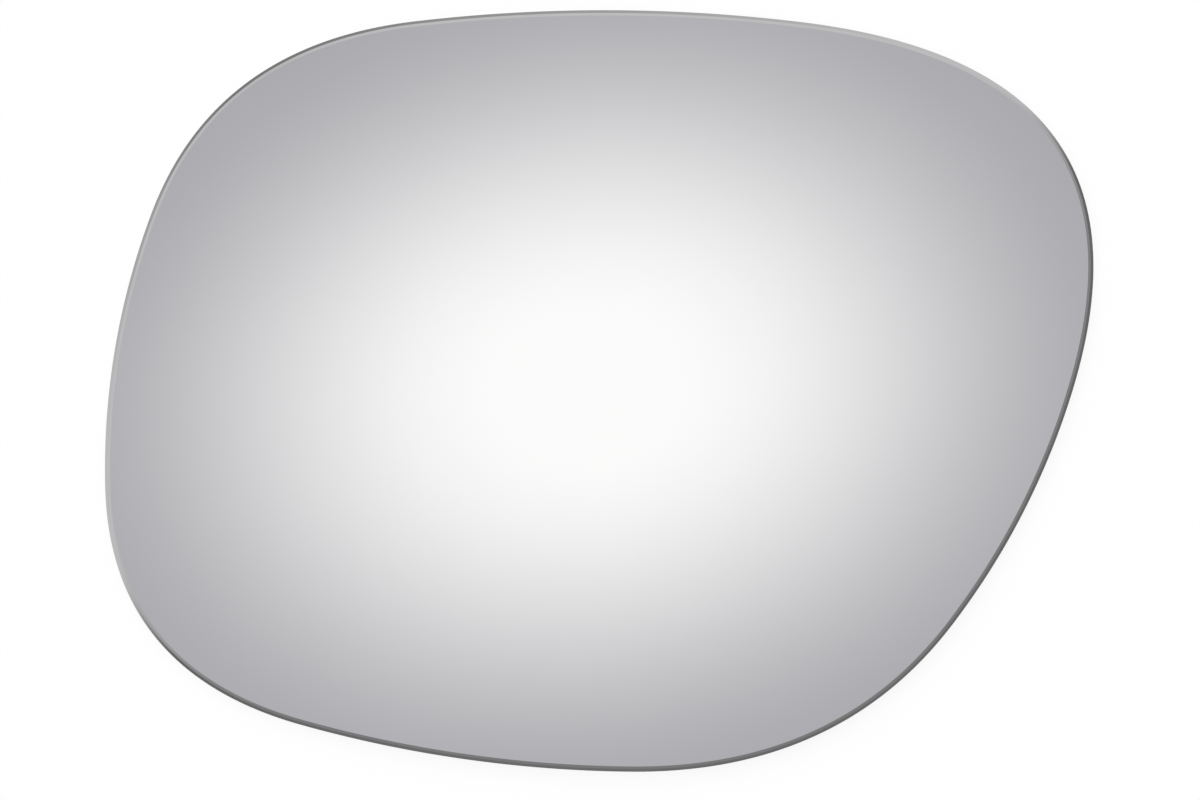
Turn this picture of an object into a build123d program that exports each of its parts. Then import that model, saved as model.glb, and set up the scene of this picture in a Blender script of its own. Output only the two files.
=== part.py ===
from build123d import *
import os
from math import cos, hypot, radians, sqrt, tan

# A car door mirror glass: one sheet of glass, cut to the outline of the mirror, bent to a shallow
# sphere, silvered on its hollow back, and ground to two narrow flats all round its rim.
# It lies with the mirror face up. Z is the optical axis, X points right and Y up as the driver sees
# the mirror, and the origin is the middle of the back, where the glass is bonded to its carrier.

# Driving dimensions in millimetres and degrees

# The outline seen from the mirror side. Its four bowed sides would meet at four corners, which lie
# this far out from the optical axis, sideways and up or down, before they are rounded.
top_left_out = 65.3
top_left_up = 61.0
top_right_out = 90.3
top_right_up = 54.8
bottom_right_out = 39.5
bottom_right_down = 66.3
bottom_left_out = 84.2
bottom_left_down = 49.2

# How far each side bows out from the straight line between its two corners
top_bow = 10.4
right_bow = 17.2
bottom_bow = 8.6
left_bow = 12.5

# How far the rounding of each corner reaches along the two sides that meet there. The rounding is a
# parabola: it curves most in its middle and eases into the sides.
top_left_rounding = 32.7
top_right_rounding = 54.9
bottom_right_rounding = 34.0
bottom_left_rounding = 32.5

# The sheet: its thickness, and the radius of the sphere that the mirror face is bent to
thickness = 2.0
face_sphere_radius = 1400.0

# The ground rim: a shallow flat next to the mirror face, the arris, and a steeper one next to the edge,
# the seam. Each has its width as seen from the front and its slope from the face, in degrees. A small
# bevel, the same both ways, takes the sharpness off the back.
arris_width = 0.48
arris_slope = 22.0
seam_width = 0.52
seam_slope = 35.0
back_bevel = 0.4

# The outline: four arcs that stop short of their corners, and four parabolas that join them

corners = [
    (-top_left_out, top_left_up),
    (top_right_out, top_right_up),
    (bottom_right_out, -bottom_right_down),
    (-bottom_left_out, -bottom_left_down),
]
bows = [top_bow, right_bow, bottom_bow, left_bow]
roundings = [top_left_rounding, top_right_rounding, bottom_right_rounding, bottom_left_rounding]


def tangents_meet(point, way, other_point, other_way):
    """Where the tangents at two points of the outline cross."""
    gap = other_point - point
    return point + way * (gap.cross(other_way).Z / way.cross(other_way).Z)


with BuildSketch() as outline:
    with BuildLine():
        sides = [
            SagittaArc(start, end, bow, mode=Mode.PRIVATE)
            for start, end, bow in zip(corners, corners[1:] + corners[:1], bows)
        ]
        for side, first, last in zip(sides, roundings, roundings[1:] + roundings[:1]):
            add(side.trim(first / side.length, 1 - last / side.length))
        for before, after, rounding in zip(sides[-1:] + sides[:-1], sides, roundings):
            leaves = 1 - rounding / before.length
            joins = rounding / after.length
            apex = tangents_meet(before @ leaves, before % leaves, after @ joins, after % joins)
            Bezier(before @ leaves, apex, after @ joins)
    make_face()

# The bent sheet: the outline's straight-walled blank, kept between two spheres about one centre,
# because bending leaves the thickness as it was. The blank reaches down as far as the back would
# curve away at the corner of the outline's bounding box, which is further than the rim itself.

back_sphere_radius = face_sphere_radius - thickness
box = outline.sketch.bounding_box()
reach = hypot(max(-box.min.X, box.max.X), max(-box.min.Y, box.max.Y))
blank_drop = back_sphere_radius - sqrt(back_sphere_radius**2 - reach**2)

# The spheres are turned so that their poles lie far out along Y, clear of the glass
poles_along_y = (90, 0, 0)

# The two flats of the rim: how deep they go together down the edge, how far the seam alone would reach
# across the face, and what the arris takes from the face and from the seam
arris_tangent = tan(radians(arris_slope))
seam_tangent = tan(radians(seam_slope))
rim_depth = arris_width * arris_tangent + seam_width * seam_tangent
seam_reach = rim_depth / seam_tangent
arris_on_face = arris_width + seam_width - seam_reach
arris_on_seam = (seam_reach - seam_width) / cos(radians(seam_slope))

with BuildPart() as mirror_glass:
    with BuildSketch(Plane.XY.offset(-blank_drop)):
        add(outline.sketch)
    extrude(amount=blank_drop + thickness)
    with Locations((0, 0, -back_sphere_radius)):
        Sphere(face_sphere_radius, rotation=poles_along_y, mode=Mode.INTERSECT)
        Sphere(back_sphere_radius, rotation=poles_along_y, mode=Mode.SUBTRACT)

    back_face = mirror_glass.faces().filter_by(GeomType.SPHERE).sort_by(Axis.Z)[0]
    chamfer(back_face.edges(), back_bevel)

    # On the front the seam is ground first, and runs on up to the face. The arris then takes off its
    # upper edge. Both follow the curved rim of the face.
    mirror_face = mirror_glass.faces().filter_by(GeomType.SPHERE).sort_by(Axis.Z)[-1]
    chamfer(mirror_face.edges(), seam_reach, rim_depth, reference=mirror_face)
    mirror_face = mirror_glass.faces().filter_by(GeomType.SPHERE).sort_by(Axis.Z)[-1]
    chamfer(mirror_face.edges(), arris_on_face, arris_on_seam, reference=mirror_face)

# The finished piece

mirror_glass.part.label = "mirror_glass"
os.makedirs("parts", exist_ok=True)
export_step(mirror_glass.part, "parts/mirror_glass.step")

glass_box = mirror_glass.part.bounding_box()
print(f"mirror_glass is {glass_box.size.X:.1f} x {glass_box.size.Y:.1f} x {glass_box.size.Z:.2f} mm")
print(f"its rim reaches {-glass_box.min.Z:.2f} mm below the middle of the back")
print(f"its volume is {mirror_glass.part.volume:.0f} cubic mm")
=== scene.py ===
# %% [markdown]
# # A car door mirror glass
#
# The object is one sheet of glass. It was cut to the outline of the mirror, bent to a very shallow dome,
# silvered on its hollow back, and ground all round its rim. It lies face up on a white sheet, and the camera
# looks straight down on it.
#
# Nearly everything that a mirror shows is a reflection, so this lesson has two halves. The first half builds
# a clean mesh, because a mirror shows every ripple in a surface. The second half builds the light that the
# mirror reflects.
#
# Blender works in metres. The glass is measured in millimetres, and mm turns those into metres.

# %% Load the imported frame
from collections import namedtuple
from math import asin, atan2, cos, degrees, radians, sin, sqrt, tan

import bmesh
import bpy
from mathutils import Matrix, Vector


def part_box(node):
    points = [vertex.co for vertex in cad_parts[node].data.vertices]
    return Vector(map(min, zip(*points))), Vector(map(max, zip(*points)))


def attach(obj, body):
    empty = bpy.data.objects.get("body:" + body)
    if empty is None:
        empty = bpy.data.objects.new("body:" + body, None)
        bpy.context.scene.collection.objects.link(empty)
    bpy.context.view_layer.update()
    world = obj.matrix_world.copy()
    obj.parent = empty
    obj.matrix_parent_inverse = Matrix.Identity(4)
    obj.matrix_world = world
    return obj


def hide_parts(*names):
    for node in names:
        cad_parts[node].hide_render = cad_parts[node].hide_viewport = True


mm = 0.001
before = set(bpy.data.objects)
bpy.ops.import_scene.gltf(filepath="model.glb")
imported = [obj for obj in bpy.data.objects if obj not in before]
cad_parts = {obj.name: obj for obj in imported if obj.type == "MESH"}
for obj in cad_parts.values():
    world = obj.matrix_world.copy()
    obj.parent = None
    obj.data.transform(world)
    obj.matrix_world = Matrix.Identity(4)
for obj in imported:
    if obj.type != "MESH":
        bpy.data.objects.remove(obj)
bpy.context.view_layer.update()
glass_low, glass_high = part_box("mirror_glass")
print("the CAD glass measures", [round(side / mm, 2) for side in glass_high - glass_low], "mm")

# %% [markdown]
# ## The sides of the outline
#
# The rim of the glass has four bowed sides and four wide, soft corners. It could be drawn as a curve object,
# but then the narrow flats along the rim would have to be offset by hand. Here it is worked out, because a
# formula also knows which way is outwards at each place.
#
# Each side is an arc that bows out from the straight line between two corners. The values are in millimetres,
# seen from the front: X to the right, Y up. The corners go anticlockwise from the top right, and each side
# starts at the corner of the same number.

# %% The four sides
corners = [Vector((90.3, 54.8)), Vector((-65.3, 61.0)), Vector((-84.2, -49.2)), Vector((39.5, -66.3))]
side_bows = [10.4, 12.5, 8.6, 17.2]
Side = namedtuple("Side", "centre radius first_angle turn")


def bowed_side(start, end, bow):
    """The arc that bows out from the chord between two corners."""
    chord = end - start
    radius = (chord.length_squared / 4 + bow**2) / (2 * bow)
    outward = Vector((chord.y, -chord.x)).normalized()
    centre = (start + end) / 2 + outward * (bow - radius)
    spoke = start - centre
    return Side(centre, radius, atan2(spoke.y, spoke.x), 2 * asin(chord.length / 2 / radius))


def side_length(side):
    """The length of a side's arc, from corner to corner."""
    return side.radius * side.turn


def on_side(side, run):
    """The place this far along a side, and the direction outwards there."""
    angle = side.first_angle + run / side.radius
    outward = Vector((cos(angle), sin(angle)))
    return side.centre + outward * side.radius, outward


sides = [bowed_side(corners[i], corners[(i + 1) % 4], side_bows[i]) for i in range(4)]
for name, side in zip(("top", "left", "bottom", "right"), sides):
    print(f"the {name} side is an arc of {side.radius:.0f} mm radius")

# %% [markdown]
# ## The corners of the outline
#
# A corner could be rounded by an arc, but an arc starts all at once, and the eye finds that place on a rim
# that shines. Here a parabola takes over from each side some way before the corner: it curves most in its
# middle and eases into both sides.

# %% The four corners
roundings = [54.9, 32.7, 32.5, 34.0]


def corner_parabola(before, after, reach):
    """The three control points of the parabola that rounds the corner between two sides."""
    leaves, leaves_outward = on_side(before, side_length(before) - reach)
    joins, joins_outward = on_side(after, reach)
    way = Vector((-leaves_outward.y, leaves_outward.x))
    other_way = Vector((-joins_outward.y, joins_outward.x))
    apex = leaves + way * ((joins - leaves).cross(other_way) / way.cross(other_way))
    return leaves, apex, joins


def on_parabola(parabola, share):
    """The place at a share of the way along a corner's parabola, and the direction outwards there."""
    start, apex, end = parabola
    place = start * (1 - share) ** 2 + apex * 2 * share * (1 - share) + end * share**2
    way = (apex - start) * (1 - share) + (end - apex) * share
    return place, Vector((way.y, -way.x)).normalized()


parabolas = [corner_parabola(sides[i - 1], sides[i], roundings[i]) for i in range(4)]
corner_names = ["top right", "top left", "bottom left", "bottom right"]
for name, corner, parabola in zip(corner_names, corners, parabolas):
    middle, _ = on_parabola(parabola, 0.5)
    print(f"rounding takes {(corner - middle).length:.1f} mm off the {name} corner")

# %% [markdown]
# ## Stations round the rim
#
# The mesh needs a row of places along that outline. Each one is called a station, and it is a point with its
# direction outwards. A ring at any inset from the edge then takes one line of code, and the points of all
# rings lie beside each other, ready to be joined by quads.
#
# The stations come in four quarters, each from the middle of one corner to the middle of the next, because
# the four corners of a square grid will lie there.

# %% Stations along the outline
half_corner_cells = 32
side_cells = 32
cells = 2 * half_corner_cells + side_cells

stations = []
for i in range(4):
    j = (i + 1) % 4
    arc_length = side_length(sides[i]) - roundings[i] - roundings[j]
    for k in range(half_corner_cells):
        stations.append(on_parabola(parabolas[i], 0.5 + 0.5 * k / half_corner_cells))
    for k in range(side_cells):
        stations.append(on_side(sides[i], roundings[i] + arc_length * k / side_cells))
    for k in range(half_corner_cells):
        stations.append(on_parabola(parabolas[j], 0.5 * k / half_corner_cells))


def flat_ring(inset):
    """The outline moved inwards, as points in the plane."""
    return [place - outward * inset for place, outward in stations]


outer_ring = flat_ring(0.0)
station_runs = [0.0]
for place, after in zip(outer_ring, outer_ring[1:] + outer_ring[:1]):
    station_runs.append(station_runs[-1] + (after - place).length)
print(f"{len(stations)} stations round a rim of {station_runs[-1]:.1f} mm")

# %% [markdown]
# ## The bent sheet
#
# Bending leaves the thickness as it was, so the front and the back are two spheres about one centre, far
# below the glass. Every point of the mesh is laid out in the plane first and then lifted onto one of them.

# %% The two spheres
thickness = 2.0
face_sphere_radius = 1400.0
back_sphere_radius = face_sphere_radius - thickness


def on_sphere(point, sphere_radius, drop=0.0):
    """A point of the plane, lifted onto a sphere about the common centre and then lowered by drop."""
    height = sqrt(sphere_radius**2 - point.length_squared) - back_sphere_radius
    return Vector((point.x, point.y, height - drop))


falls = [thickness - on_sphere(place, face_sphere_radius).z for place in outer_ring]
print(f"from its middle to the rim, the face falls by {min(falls):.1f} to {max(falls):.1f} mm")

# %% [markdown]
# ## The ground rim
#
# A cut edge of glass is sharp, so a grinding belt takes it off. The photo shows two narrow bands round the
# glass: a shallow flat next to the mirror face, the arris, and a steeper one outside it, the seam. Below
# them come the edge itself, straight down, and a small bevel round the back.
#
# A bevel modifier could make them, but it gives rounded or uneven strips where a curved face meets a wall.
# The flats are so narrow that their slope decides what they reflect, so they are made from rings, each at its
# own inset from the edge and its own depth below the sphere.

# %% Sizes of the flats
arris_width = 0.48
arris_slope = 22.0
seam_width = 0.52
seam_slope = 35.0
back_bevel = 0.4

arris_drop = arris_width * tan(radians(arris_slope))
rim_depth = arris_drop + seam_width * tan(radians(seam_slope))
print(f"the arris goes down {arris_drop:.2f} mm, and the two flats together {rim_depth:.2f} mm")

# %% [markdown]
# ## A grid without a star
#
# A disc of triangles that all meet in the middle would show as a star in the reflection. Instead, a square
# grid is stretched until its border lies on the outline. Each point adds up what the left and right borders
# ask for and what the top and bottom ask for, and takes away what the four corners were asked for twice.

# %% The grid inside the outline


def stretched_grid(ring):
    """A square grid of points in the plane whose border is the ring. The rows go up, the columns right."""
    top = ring[cells::-1]
    left = ring[2 * cells:cells - 1:-1]
    bottom = ring[2 * cells:3 * cells + 1]
    right = ring[3 * cells:] + ring[:1]
    grid = []
    for row in range(cells + 1):
        v = row / cells
        line = []
        for column in range(cells + 1):
            u = column / cells
            upright = bottom[column] * (1 - v) + top[column] * v
            sideways = left[row] * (1 - u) + right[row] * u
            low = bottom[0] * (1 - u) + bottom[-1] * u
            high = top[0] * (1 - u) + top[-1] * u
            line.append(upright + sideways - low * (1 - v) - high * v)
        grid.append(line)
    return grid


face_grid = stretched_grid(flat_ring(arris_width + seam_width))
back_grid = stretched_grid(flat_ring(back_bevel))
print(f"the face and the back are grids of {cells} by {cells} cells")

# %% [markdown]
# ## The face and the back
#
# The whole glass becomes one mesh. It is put together with bmesh, because that lets each face of the mesh
# have its finish and its place on a map of patterns as it is made. The patterns will follow the rim, so the
# map only matters there. On the face and the back it is plain X and Y.

# %% Face and back
finish_order = ["silvered_face", "ground_arris", "ground_seam", "ground_edge", "back_paint"]
slot_of = {name: number for number, name in enumerate(finish_order)}
mesh_maker = bmesh.new()
rim_map = mesh_maker.loops.layers.uv.new("rim_map")


def new_vertex(point):
    """A vertex of the glass at a point in millimetres."""
    return mesh_maker.verts.new(point * mm)


def add_sheet(grid, sphere_radius, finish, facing_up):
    """One side of the glass, in quads. Returns its border vertices in the order of the stations."""
    rows = [[new_vertex(on_sphere(point, sphere_radius)) for point in line] for line in grid]
    for row in range(cells):
        for column in range(cells):
            quad = [rows[row][column], rows[row][column + 1],
                    rows[row + 1][column + 1], rows[row + 1][column]]
            face = mesh_maker.faces.new(quad if facing_up else quad[::-1])
            face.material_index = slot_of[finish]
            for loop in face.loops:
                loop[rim_map].uv = loop.vert.co.xy
    top = rows[cells][:0:-1]
    left = [line[0] for line in rows[:0:-1]]
    bottom = rows[0][:-1]
    right = [line[cells] for line in rows[:-1]]
    return top + left + bottom + right


face_border = add_sheet(face_grid, face_sphere_radius, "silvered_face", facing_up=True)
back_border = add_sheet(back_grid, back_sphere_radius, "back_paint", facing_up=False)
print(f"the face and the back have {len(mesh_maker.faces)} quads")

# %% [markdown]
# ## The strips of the rim
#
# Three more rings lie between the border of the face and the border of the back: where the two flats meet,
# and the top and the bottom of the edge. Each strip between two rings is a belt of quads. The flats and the
# edge have finishes of their own, and the bevel is finished as the edge is. An unwrap would cut the belts and
# lay them anyhow, so their map is written here: the first coordinate runs along the rim and the second across
# it, in metres.

# %% Rings and strips


def sphere_ring(inset, sphere_radius, drop):
    """A ring of vertices at an inset from the edge, lowered from a sphere by drop."""
    return [new_vertex(on_sphere(point, sphere_radius, drop)) for point in flat_ring(inset)]


def add_strip(inner, outer, finish, across):
    """The quads between two rings, mapped from across onwards. Returns how far across they reach."""
    width = (outer[0].co - inner[0].co).length
    for k in range(len(stations)):
        after = (k + 1) % len(stations)
        face = mesh_maker.faces.new([inner[k], outer[k], outer[after], inner[after]])
        face.material_index = slot_of[finish]
        runs = [station_runs[k], station_runs[k], station_runs[k + 1], station_runs[k + 1]]
        for loop, run, depth in zip(face.loops, runs, (across, across + width, across + width, across)):
            loop[rim_map].uv = (run * mm, depth)
    return across + width


flats_meet = sphere_ring(seam_width, face_sphere_radius, arris_drop)
edge_top = sphere_ring(0.0, face_sphere_radius, rim_depth)
edge_bottom = sphere_ring(0.0, back_sphere_radius, -back_bevel)
rings = [face_border, flats_meet, edge_top, edge_bottom, back_border]
strip_finishes = ["ground_arris", "ground_seam", "ground_edge", "ground_edge"]

across = 0.0
for inner, outer, finish in zip(rings, rings[1:], strip_finishes):
    across = add_strip(inner, outer, finish, across)
print(f"the rim is {across / mm:.2f} mm from the mirror face to the back")

# %% [markdown]
# ## One closed piece
#
# The faces are shaded smooth, so that the mirror shows no facets. The edges along the rings are marked sharp,
# so that each flat keeps a shading of its own. The piece then stands for the CAD solid, and rides on the only
# body that the object has.

# %% The finished mesh
for face in mesh_maker.faces:
    face.smooth = True
for ring in rings:
    for vertex, after in zip(ring, ring[1:] + ring[:1]):
        mesh_maker.edges.get((vertex, after)).smooth = False

closed = all(len(edge.link_faces) == 2 for edge in mesh_maker.edges)
volume = mesh_maker.calc_volume(signed=True)
glass_mesh = bpy.data.meshes.new("mirror_glass_pane")
mesh_maker.to_mesh(glass_mesh)
mesh_maker.free()
glass = bpy.data.objects.new("mirror_glass_pane", glass_mesh)
bpy.context.scene.collection.objects.link(glass)
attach(glass, "root")
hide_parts("mirror_glass")
print(f"the pane has {len(glass_mesh.polygons)} faces, closed: {closed}, {volume / mm**3:.0f} cubic mm")

# %% [markdown]
# ## A shared effect: the cloud
#
# Two effects come back in several finishes, so each is a node group that is built once. A group only hands
# out a pattern between 0 and 1, and each material decides what to do with it. The first is a soft noise, for
# faint haze and mottled paint.

# %% The cloud group


def add_node(tree, kind, **settings):
    """A new node of a kind, with its settings."""
    node = tree.nodes.new(kind)
    for name, value in settings.items():
        setattr(node, name, value)
    return node


def new_group(name, inputs, output):
    """An empty shader group with a Vector input, number inputs and one number output."""
    group = bpy.data.node_groups.new(name, "ShaderNodeTree")
    group.interface.new_socket("Vector", in_out="INPUT", socket_type="NodeSocketVector")
    for label, value in inputs.items():
        socket = group.interface.new_socket(label, in_out="INPUT", socket_type="NodeSocketFloat")
        socket.default_value = value
    group.interface.new_socket(output, in_out="OUTPUT", socket_type="NodeSocketFloat")
    return group, group.nodes.new("NodeGroupInput"), group.nodes.new("NodeGroupOutput")


def build_cloud():
    """Soft noise of a given size in metres."""
    group, inside, outside = new_group("cloud", {"Size": 20 * mm}, "Cloud")
    fineness = add_node(group, "ShaderNodeMath", operation="DIVIDE")
    fineness.inputs[0].default_value = 1.0
    noise = add_node(group, "ShaderNodeTexNoise")
    noise.inputs["Detail"].default_value = 3.0
    noise.inputs["Roughness"].default_value = 0.55
    group.links.new(inside.outputs["Size"], fineness.inputs[1])
    group.links.new(inside.outputs["Vector"], noise.inputs["Vector"])
    group.links.new(fineness.outputs[0], noise.inputs["Scale"])
    group.links.new(noise.outputs["Fac"], outside.inputs["Cloud"])
    return group


cloud_group = build_cloud()
print("the group", cloud_group.name, "has", len(cloud_group.nodes), "nodes")

# %% [markdown]
# ## A shared effect: the grinding lines
#
# A grinding belt leaves fine lines along the rim. A wave texture would draw them too, but all of one length
# and evenly spaced. Here they are a noise again, squeezed across the rim and drawn out along it.

# %% The grinding group


def build_grinding():
    """Fine lines along the rim. The map's first coordinate runs along it, the second across."""
    group, inside, outside = new_group("grinding", {"Length": 6 * mm, "Width": 0.06 * mm}, "Lines")
    parts = add_node(group, "ShaderNodeSeparateXYZ")
    along = add_node(group, "ShaderNodeMath", operation="DIVIDE")
    over = add_node(group, "ShaderNodeMath", operation="DIVIDE")
    joined = add_node(group, "ShaderNodeCombineXYZ")
    noise = add_node(group, "ShaderNodeTexNoise")
    noise.inputs["Scale"].default_value = 1.0
    noise.inputs["Detail"].default_value = 2.0
    group.links.new(inside.outputs["Vector"], parts.inputs[0])
    group.links.new(parts.outputs["X"], along.inputs[0])
    group.links.new(inside.outputs["Length"], along.inputs[1])
    group.links.new(parts.outputs["Y"], over.inputs[0])
    group.links.new(inside.outputs["Width"], over.inputs[1])
    group.links.new(along.outputs[0], joined.inputs["X"])
    group.links.new(over.outputs[0], joined.inputs["Y"])
    group.links.new(joined.outputs[0], noise.inputs["Vector"])
    group.links.new(noise.outputs["Fac"], outside.inputs["Lines"])
    return group


grinding_group = build_grinding()
print("the group", grinding_group.name, "has", len(grinding_group.nodes), "nodes")

# %% [markdown]
# ## From a pattern to a finish
#
# Small helpers turn a pattern into a colour or a number of a material. Noise keeps mostly to the middle of
# its range, so that middle is spread over the two values that a finish asks for. What is the same all over a
# surface, such as the metal of the silver, is set on the shader itself.

# %% Helpers for the finishes
pattern_low, pattern_high = 0.3, 0.7
finishes = {}


def new_finish(name):
    """A new material, its node tree and its shader."""
    material = bpy.data.materials.new(name)
    material.use_nodes = True
    return material, material.node_tree, material.node_tree.nodes["Principled BSDF"]


def drive_number(tree, pattern, socket, low, high):
    """The pattern drives a shader number between two values."""
    spread = add_node(tree, "ShaderNodeMapRange")
    spread.inputs["From Min"].default_value = pattern_low
    spread.inputs["From Max"].default_value = pattern_high
    spread.inputs["To Min"].default_value = low
    spread.inputs["To Max"].default_value = high
    tree.links.new(pattern, spread.inputs["Value"])
    tree.links.new(spread.outputs["Result"], socket)


def drive_colour(tree, pattern, socket, dark, light):
    """The pattern drives a shader colour between two colours."""
    ramp = add_node(tree, "ShaderNodeValToRGB")
    ramp.color_ramp.elements[0].position = pattern_low
    ramp.color_ramp.elements[1].position = pattern_high
    ramp.color_ramp.elements[0].color = (*dark, 1.0)
    ramp.color_ramp.elements[1].color = (*light, 1.0)
    tree.links.new(pattern, ramp.inputs["Fac"])
    tree.links.new(ramp.outputs["Color"], socket)


print(f"patterns are spread from {pattern_low} to {pattern_high}")

# %% [markdown]
# ## The silvered face
#
# On the real glass, light goes through the sheet, is thrown back by the silver behind it and comes out
# again, and a little of it is already thrown back by the front of the glass. Real refraction with a metal
# behind it would show the same from the front, but a viewer that can't trace rays would show clear glass.
# So the face is a metal with a clear coat: the metal is the silver, and the coat is the front of the glass.
# A trace of wiping haze makes the gloss uneven, far too little to blur what the mirror shows.

# %% Silvered face
glass_ior = 1.52


def place_cloud(tree, size):
    """The cloud in the object's own coordinates. Returns its output."""
    place = add_node(tree, "ShaderNodeTexCoord")
    cloud = add_node(tree, "ShaderNodeGroup", node_tree=cloud_group)
    cloud.inputs["Size"].default_value = size
    tree.links.new(place.outputs["Object"], cloud.inputs["Vector"])
    return cloud.outputs["Cloud"]


def silvered_face():
    """Silver behind clear, polished glass."""
    material, tree, shader = new_finish("silvered_face")
    shader.inputs["Metallic"].default_value = 1.0
    shader.inputs["Coat Weight"].default_value = 1.0
    shader.inputs["Coat Roughness"].default_value = 0.0
    shader.inputs["Coat IOR"].default_value = glass_ior
    haze = place_cloud(tree, size=30 * mm)
    colour = shader.inputs["Base Color"]
    drive_colour(tree, haze, colour, dark=(0.905, 0.908, 0.912), light=(0.915, 0.917, 0.92))
    drive_number(tree, haze, shader.inputs["Roughness"], low=0.012, high=0.03)
    return material


finishes["silvered_face"] = silvered_face()
print("finishes so far:", ", ".join(finishes))

# %% [markdown]
# ## The ground flats
#
# The belt takes the polish off the glass, but the silver still shows through it. So the flats look like
# satin metal, duller and darker than the face. They are one recipe with two sets of values.

# %% Ground flats


def place_grinding(tree, length, width):
    """The grinding lines on the rim map. Returns their output."""
    place = add_node(tree, "ShaderNodeUVMap", uv_map="rim_map")
    lines = add_node(tree, "ShaderNodeGroup", node_tree=grinding_group)
    lines.inputs["Length"].default_value = length
    lines.inputs["Width"].default_value = width
    tree.links.new(place.outputs["UV"], lines.inputs["Vector"])
    return lines.outputs["Lines"]


def drive_bump(tree, pattern, shader, depth, strength):
    """The pattern stands out from the surface by depth, in metres."""
    bump = add_node(tree, "ShaderNodeBump")
    bump.inputs["Distance"].default_value = depth
    bump.inputs["Strength"].default_value = strength
    tree.links.new(pattern, bump.inputs["Height"])
    tree.links.new(bump.outputs["Normal"], shader.inputs["Normal"])


def ground_flat(name, dark, light, smooth, rough, line_width):
    """Silver behind glass that a belt has ground dull."""
    material, tree, shader = new_finish(name)
    shader.inputs["Metallic"].default_value = 1.0
    lines = place_grinding(tree, length=8 * mm, width=line_width)
    drive_colour(tree, lines, shader.inputs["Base Color"], dark, light)
    drive_number(tree, lines, shader.inputs["Roughness"], smooth, rough)
    drive_bump(tree, lines, shader, depth=0.002 * mm, strength=0.15)
    return material


finishes["ground_arris"] = ground_flat(
    "ground_arris", dark=(0.57, 0.57, 0.576), light=(0.64, 0.64, 0.646),
    smooth=0.08, rough=0.16, line_width=0.05 * mm)
finishes["ground_seam"] = ground_flat(
    "ground_seam", dark=(0.546, 0.546, 0.552), light=(0.62, 0.62, 0.626),
    smooth=0.06, rough=0.12, line_width=0.06 * mm)
print("finishes so far:", ", ".join(finishes))

# %% [markdown]
# ## The edge
#
# The edge shows the glass in its thickness, so it has the grey green of plain glass, frosted by the belt.
# Clear glass would need rays that go through it, and a frosted edge hides where they come from, so a plain
# colour under a dull surface is enough.

# %% Ground edge


def ground_edge():
    """Plain glass seen from its edge, ground dull."""
    material, tree, shader = new_finish("ground_edge")
    shader.inputs["IOR"].default_value = glass_ior
    lines = place_grinding(tree, length=4 * mm, width=0.08 * mm)
    drive_colour(tree, lines, shader.inputs["Base Color"], dark=(0.26, 0.32, 0.30), light=(0.34, 0.40, 0.38))
    drive_number(tree, lines, shader.inputs["Roughness"], low=0.42, high=0.6)
    drive_bump(tree, lines, shader, depth=0.006 * mm, strength=0.4)
    return material


finishes["ground_edge"] = ground_edge()
print("finishes so far:", ", ".join(finishes))

# %% [markdown]
# ## The back
#
# The back has a coat of grey paint that keeps damp from the silver. Sprayed paint is never quite even: its
# colour is faintly mottled, and its surface has the fine dimples that painters call orange peel. Both are the
# cloud, at two sizes. The finishes then go onto the mesh in the order of its numbers.

# %% Back paint


def back_paint():
    """Sprayed grey paint."""
    material, tree, shader = new_finish("back_paint")
    mottle = place_cloud(tree, size=12 * mm)
    peel = place_cloud(tree, size=0.9 * mm)
    colour = shader.inputs["Base Color"]
    drive_colour(tree, mottle, colour, dark=(0.135, 0.138, 0.142), light=(0.175, 0.178, 0.182))
    drive_number(tree, mottle, shader.inputs["Roughness"], low=0.38, high=0.52)
    drive_bump(tree, peel, shader, depth=0.02 * mm, strength=0.35)
    return material


finishes["back_paint"] = back_paint()
for name in finish_order:
    glass_mesh.materials.append(finishes[name])
print("finishes on the glass:", ", ".join(material.name for material in glass_mesh.materials))

# %% [markdown]
# ## The camera
#
# The photo looks straight down the optical axis, with no visible perspective. An orthographic camera would
# show none at all, but a long lens high above the glass is closer to how such a photo is taken. The frame is
# as wide as the photo shows, measured at the height of the rim.

# %% Camera
frame_width = 216.0
frame_middle = Vector((0.207, -1.58))
lens = 135.0
sensor_width = 36.0
rim_height = -1.0

camera_height = frame_width * lens / sensor_width
camera_data = bpy.data.cameras.new("camera")
camera_data.lens = lens
camera_data.sensor_width = sensor_width
camera = bpy.data.objects.new("camera", camera_data)
camera.location = Vector((frame_middle.x, frame_middle.y, rim_height + camera_height)) * mm
bpy.context.scene.collection.objects.link(camera)
bpy.context.scene.camera = camera
print(f"the camera stands {camera_height:.0f} mm above the rim")

# %% [markdown]
# ## What the mirror reflects
#
# A photographer puts a mirror in a tent of white cloth, because whatever stands round it would show in it.
# A soft light above the tent gives the bright patch in the middle of the mirror, which fades to grey.
#
# The tent could be a dome with lamps outside it, but it would stand in the way of a camera at the side. It is
# simpler and cleaner as the world: a colour for each direction.

# %% The world as a light tent
world = bpy.data.worlds.new("light_tent")
bpy.context.scene.world = world
world.use_nodes = True
sky = world.node_tree
direction = add_node(sky, "ShaderNodeTexCoord").outputs["Generated"]


def sky_step(value, start, end):
    """Goes smoothly from 0 to 1 as the value goes from start to end."""
    node = add_node(sky, "ShaderNodeMapRange", interpolation_type="SMOOTHSTEP")
    node.inputs["From Min"].default_value = start
    node.inputs["From Max"].default_value = end
    sky.links.new(value, node.inputs["Value"])
    return node.outputs["Result"]


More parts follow.
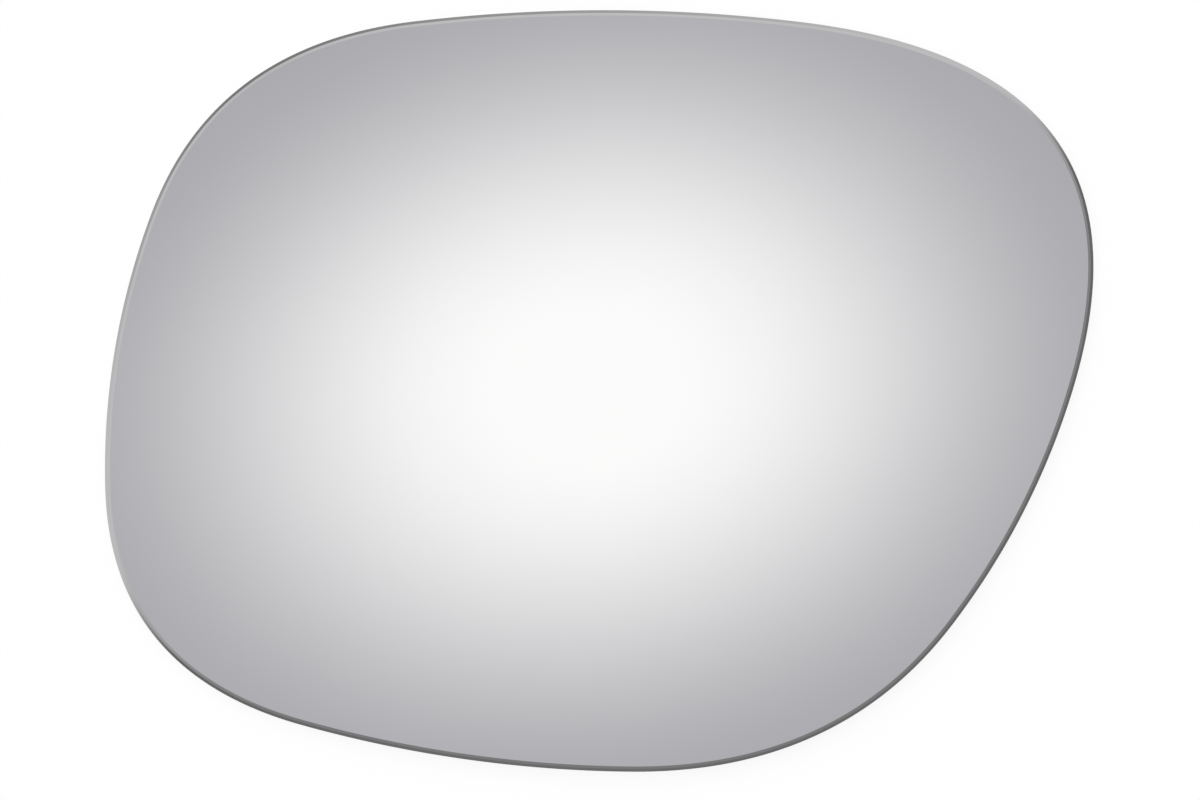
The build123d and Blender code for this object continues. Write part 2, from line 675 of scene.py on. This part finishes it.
def sky_mix(share, first, second):
    """Mixes two colours of the sky. Each is an output to link or a colour."""
    node = add_node(sky, "ShaderNodeMix", data_type="RGBA")
    sky.links.new(share, node.inputs[0])
    # The sockets for numbers, vectors and colours share their names, and these are the ones for colours
    for socket, value in zip((node.inputs[6], node.inputs[7]), (first, second)):
        if isinstance(value, tuple):
            socket.default_value = (*value, 1.0)
        else:
            sky.links.new(value, socket)
    return node.outputs[2]


print("the world is", world.name)

# %% [markdown]
# ## The bright patch above
#
# A dome of radius R turns the view by twice the angle of its surface, so a place on the glass at distance r
# from the axis shows the sky at about r (1 / height + 2 / R) from straight up. The patch is an ellipse on the
# glass, so that gives the ellipse in the sky. Its middle is in millimetres on the glass, and so are its half
# length and half width. It fades over a share of its own size.

# %% The bright patch
patch_middle = Vector((-1.93, 1.73))
patch_half_length = 89.0
patch_half_width = 67.6
patch_turn = 9.5
patch_fades = (0.15, 1.115)
patch_colour = (1.055, 1.051, 1.045)
roof_colour = (0.446, 0.4395, 0.464)

sky_per_mm = 1 / camera_height + 2 / face_sphere_radius
patch_reach = patch_half_length * sky_per_mm
patch_breadth = patch_half_width * sky_per_mm
# Height is divided by this, so that it has no say in how far a direction is from the patch
height_divisor = 1000.0


def sky_length(vector):
    """The length of a vector."""
    node = add_node(sky, "ShaderNodeVectorMath", operation="LENGTH")
    sky.links.new(vector, node.inputs[0])
    return node.outputs["Value"]


patch_place = add_node(sky, "ShaderNodeMapping", vector_type="TEXTURE")
patch_place.inputs["Location"].default_value = (*(patch_middle * sky_per_mm), 0.0)
patch_place.inputs["Rotation"].default_value = (0.0, 0.0, radians(patch_turn))
patch_place.inputs["Scale"].default_value = (patch_reach, patch_breadth, height_divisor)
sky.links.new(direction, patch_place.inputs["Vector"])
from_patch = sky_length(patch_place.outputs["Vector"])
roof = sky_mix(sky_step(from_patch, *patch_fades), patch_colour, roof_colour)
print(f"the bright patch reaches {degrees(patch_reach):.1f} degrees from straight up")

# %% [markdown]
# ## The walls of the tent
#
# The flats of the rim lean outwards, so they don't see the roof but the walls: the arris looks at a height of
# about 35 degrees, and the seam close to the ground. The cloth is dark on the lower right and bright on the
# upper left, which gives the rim its dark and its light side. Straight towards the light a post of the tent
# takes some of the brightness away again.
#
# The walls are two runs of cloth, one above the other, because the light falls off towards the ground: there
# the dark cloth is darker, and it turns bright over a shorter stretch. A direction faces the light by 1 when
# it points straight at it and by -1 when it points away.

# %% The walls
light_side = radians(124)
light_cloth = (0.85, 0.85, 0.85)
cloths_meet = (sin(radians(20)), sin(radians(31)))

towards_light = add_node(sky, "ShaderNodeVectorMath", operation="DOT_PRODUCT")
towards_light.inputs[1].default_value = (cos(light_side), sin(light_side), 0.0)
sky.links.new(direction, towards_light.inputs[0])
facing = towards_light.outputs["Value"]
direction_parts = add_node(sky, "ShaderNodeSeparateXYZ")
sky.links.new(direction, direction_parts.inputs[0])
height = direction_parts.outputs["Z"]


def wall_cloth(dark, brightens, post, post_begins):
    """Cloth that goes from dark to light towards the light side, and to the post's colour in its middle."""
    cloth = sky_mix(sky_step(facing, *brightens), dark, light_cloth)
    return sky_mix(sky_step(facing, *post_begins), cloth, post)


lower_cloth = wall_cloth(
    dark=(0.206, 0.206, 0.208), brightens=(-0.20, 0.30),
    post=(0.225, 0.225, 0.227), post_begins=(0.55, 1.10))
upper_cloth = wall_cloth(
    dark=(0.258, 0.258, 0.26), brightens=(-0.40, 0.40),
    post=(0.388, 0.388, 0.39), post_begins=(0.77, 1.02))
walls = sky_mix(sky_step(height, *cloths_meet), lower_cloth, upper_cloth)
print(f"the walls are brightest on both sides of the post at {degrees(light_side):.0f} degrees")

# %% [markdown]
# ## The band and the lamps behind the walls
#
# From the side the mirror shows the walls, and a mirror that shows one even grey looks like a painted board.
# So a paler band runs round the tent at about the height where a lamp would stand, and soft lamps shine
# through the cloth all round, brighter on the light side: a lower row behind the band and an upper row above
# it. Seen from any side, the face then has a glow that fades to grey, as it has from above.
#
# Each lamp could be an ellipse of its own, as the patch is, but so many of them make a slow sky. Here the
# azimuth is wrapped into one sector, so that one ellipse stands for a whole row. The lamps keep clear of the
# heights that the flats of the rim see from above. The band is wider: the arris still sees a little of it.

# %% Band and lamps
band_colour = (0.693, 0.693, 0.697)
band_share = 0.5
band_low, band_middle, band_high = (sin(radians(angle)) for angle in (9, 22, 43))
lamp_sector = radians(45)
lower_height, lower_rise = radians(20.8), radians(3.0)
upper_height = radians(47)
dim_lamp, bright_lamp = (0.78, 0.78, 0.78), (0.96, 0.96, 0.96)
glow_fades = (0.10, 1.0)


def sky_math(operation, *values):
    """A calculation in the sky. Each value is an output to link or a number."""
    node = add_node(sky, "ShaderNodeMath", operation=operation)
    for socket, value in zip(node.inputs, values):
        if isinstance(value, float):
            socket.default_value = value
        else:
            sky.links.new(value, socket)
    return node.outputs[0]


def add_lamps(walls, lamp_height, half_turn, half_height):
    """The walls with a row of soft lamps behind them. Its height is an output or a number, in radians."""
    above_lamp = sky_math("SUBTRACT", elevation, lamp_height)
    place = add_node(sky, "ShaderNodeCombineXYZ")
    sky.links.new(sky_math("DIVIDE", beside_lamp, half_turn), place.inputs["X"])
    sky.links.new(sky_math("DIVIDE", above_lamp, half_height), place.inputs["Y"])
    return sky_mix(sky_step(sky_length(place.outputs[0]), *glow_fades), lamp_colour, walls)


band = sky_math("MULTIPLY", sky_step(height, band_low, band_middle), sky_step(height, band_high, band_middle))
walls = sky_mix(sky_math("MULTIPLY", band, band_share), walls, band_colour)

azimuth = sky_math("ARCTAN2", direction_parts.outputs["Y"], direction_parts.outputs["X"])
elevation = sky_math("ARCSINE", height)
beside_lamp = sky_math("WRAP", azimuth, lamp_sector / 2, -lamp_sector / 2)
lamp_colour = sky_mix(sky_step(facing, -1.0, 1.0), dim_lamp, bright_lamp)
# The lower lamps stand higher towards the light side
rising_height = sky_math("MULTIPLY_ADD", facing, lower_rise, lower_height)
walls = add_lamps(walls, rising_height, half_turn=radians(9.5), half_height=radians(6.0))
walls = add_lamps(walls, upper_height, half_turn=radians(17.5), half_height=radians(8.0))
print(f"the lamps stand every {degrees(lamp_sector):.0f} degrees, in two rows")

# %% [markdown]
# ## From the roof to the ground
#
# High up, the walls go over into the roof. Close to the ground the tent has a grey hem, which draws the far
# rim of the glass in a low view. Under the hem the cloth is as white as the sheet that the glass lies on, so
# that no horizon shows.

# %% Roof, walls and hem
hem_colour = (0.32, 0.32, 0.324)
ground_cloth = (0.995, 0.995, 0.995)
hem_begins = (sin(radians(2.3)), sin(radians(3.4)))
hem_ends = (sin(radians(4.6)), sin(radians(6.0)))
roof_begins = (sin(radians(50)), sin(radians(68)))

tent = sky_mix(sky_step(height, *roof_begins), walls, roof)
below = sky_mix(sky_step(height, *hem_begins), ground_cloth, hem_colour)
background = sky.nodes["Background"]
background.inputs["Strength"].default_value = 1.0
sky.links.new(sky_mix(sky_step(height, *hem_ends), below, tent), background.inputs["Color"])
print("the sky has", len(sky.nodes), "nodes")

# %% [markdown]
# ## The lamp
#
# The tent lights what it shows, but it is a little dim for paint and frosted glass. A broad soft sun from the
# upper left fills the rest. An area lamp would do for the glass alone, but a sun lights near and far alike,
# so the sheet is as bright far off as it is close by. It is kept out of reflections, because the mirror
# should show the tent.

# %% Lamp
towards_lamp = Vector((-0.45, 0.65, 1.3))
lamp_angle = radians(80)
lamp_energy = 1.7

lamp_data = bpy.data.lights.new("soft_lamp", "SUN")
lamp_data.angle = lamp_angle
lamp_data.energy = lamp_energy
lamp = bpy.data.objects.new("soft_lamp", lamp_data)
lamp.location = towards_lamp
lamp.rotation_mode = "QUATERNION"
lamp.rotation_quaternion = (-towards_lamp).to_track_quat("-Z", "Y")
lamp.visible_glossy = False
bpy.context.scene.collection.objects.link(lamp)
print(f"the lamp is a disc of light {degrees(lamp_angle):.0f} degrees across")

# %% [markdown]
# ## The white sheet
#
# The glass lies on a plain white sheet, just under the lowest point of its rim. It is so large that its edge
# is never seen.

# %% Floor
floor_size = 8.0

floor_maker = bmesh.new()
bmesh.ops.create_grid(floor_maker, x_segments=1, y_segments=1, size=floor_size)
floor_mesh = bpy.data.meshes.new("white_sheet")
floor_maker.to_mesh(floor_mesh)
floor_maker.free()
floor = bpy.data.objects.new("white_sheet", floor_mesh)
floor.location.z = glass_low.z
bpy.context.scene.collection.objects.link(floor)
print(f"the sheet lies at {floor.location.z / mm:.2f} mm")

# %% [markdown]
# ## The white of the sheet
#
# More light would make the sheet white, but it would also fall on the glass. Instead, the sheet shines by
# itself where the camera or a reflection sees it. The rest of it is plain matt white, and that part keeps the
# shadow under the rim.

# %% The sheet's finish
sheet_colour = (0.97, 0.97, 0.97)
own_light = 0.88

sheet = bpy.data.materials.new("white_sheet")
sheet.use_nodes = True
cloth = sheet.node_tree
cloth.nodes.remove(cloth.nodes["Principled BSDF"])
matt = add_node(cloth, "ShaderNodeBsdfDiffuse")
matt.inputs["Color"].default_value = (*sheet_colour, 1.0)
shine = add_node(cloth, "ShaderNodeEmission")
path = add_node(cloth, "ShaderNodeLightPath")
seen = add_node(cloth, "ShaderNodeMath", operation="MAXIMUM")
seen_or_through = add_node(cloth, "ShaderNodeMath", operation="MAXIMUM")
share = add_node(cloth, "ShaderNodeMath", operation="MULTIPLY")
share.inputs[1].default_value = own_light
both = add_node(cloth, "ShaderNodeMixShader")
cloth.links.new(path.outputs["Is Camera Ray"], seen.inputs[0])
cloth.links.new(path.outputs["Is Glossy Ray"], seen.inputs[1])
cloth.links.new(seen.outputs[0], seen_or_through.inputs[0])
cloth.links.new(path.outputs["Is Transmission Ray"], seen_or_through.inputs[1])
cloth.links.new(seen_or_through.outputs[0], share.inputs[0])
cloth.links.new(share.outputs[0], both.inputs[0])
cloth.links.new(matt.outputs[0], both.inputs[1])
cloth.links.new(shine.outputs[0], both.inputs[2])
cloth.links.new(both.outputs[0], cloth.nodes["Material Output"].inputs["Surface"])
floor_mesh.materials.append(sheet)
print(f"{own_light:.0%} of the sheet's white is its own light")

# %% [markdown]
# ## Colour management
#
# The Standard view shows a colour as it is written.

# %% Finish
bpy.context.scene.view_settings.view_transform = "Standard"
